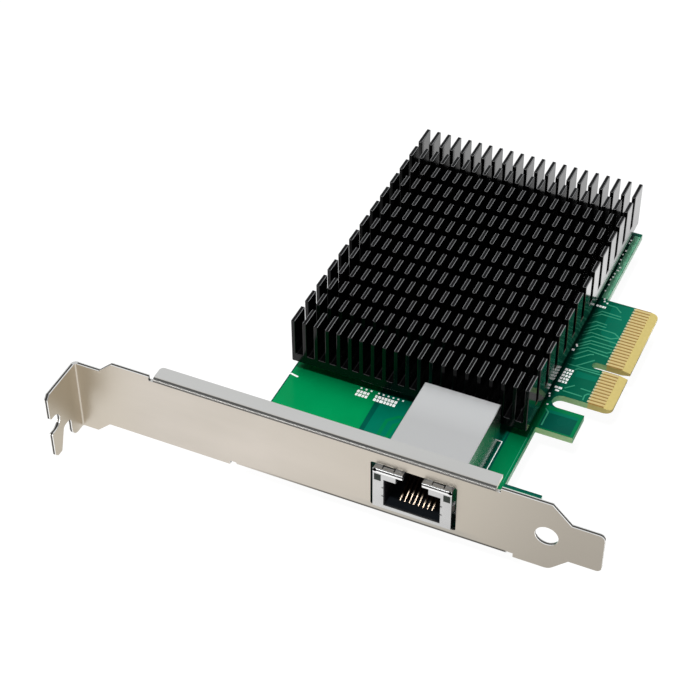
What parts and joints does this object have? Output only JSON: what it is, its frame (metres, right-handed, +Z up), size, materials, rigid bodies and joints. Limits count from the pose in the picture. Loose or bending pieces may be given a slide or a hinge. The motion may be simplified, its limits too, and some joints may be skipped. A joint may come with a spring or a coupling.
{
  "type": "network interface card",
  "caption": "Low-profile circuit board with a cross-cut finned heatsink, one shielded network jack, an edge connector and a full-height steel bracket.",
  "frame": {"origin": "corner where the outer face of the bracket's screw tab, the bracket's front face and the board's component side meet", "axes": "+X along the bracket from the screw tab to the tail, +Y from the bracket back over the board, +Z up from the board's component side"},
  "size_m": [0.12, 0.117, 0.0214],
  "materials": {
    "green_board": "glossy solder mask",
    "gold_contacts": "bright gold plating",
    "black_heatsink": "satin black anodised",
    "bracket_steel": "satin plated",
    "shield_steel": "satin plated",
    "screw_steel": "bright plated",
    "black_plastic": "moulded",
    "lamp_plastic": "clear moulded, unlit",
    "solder": "bright",
    "chip_black": "moulded",
    "coil_grey": "moulded iron powder",
    "capacitor_tan": "ceramic with tinned ends",
    "bulk_yellow": "moulded",
    "resistor_black": "glazed with tinned ends",
    "crystal_can": "bright",
    "pad_grey": "soft",
    "spacer_brass": "turned"
  },
  "bodies": {
    "root": {"circuit_board": "green_board", "edge_contacts_top": "gold_contacts", "edge_contacts_bottom": "gold_contacts", "heatsink": "black_heatsink", "heatsink_screws": "screw_steel", "heatsink_spacers": "spacer_brass", "thermal_pad": "pad_grey", "controller_chip": "chip_black", "flash_memory": "chip_black", "crystal": "crystal_can", "power_inductors": "coil_grey", "regulators": "chip_black", "bulk_capacitors": "bulk_yellow", "ceramic_capacitors": "capacitor_tan", "underside_capacitors": "capacitor_tan", "resistors": "resistor_black", "bracket": "bracket_steel", "bracket_screws": "screw_steel", "jack_shield": "shield_steel", "jack_housing": "black_plastic", "jack_contacts": "gold_contacts", "jack_lamps": "lamp_plastic", "jack_leads": "solder", "magnetics_module": "black_plastic"}
  },
  "joints": []
}
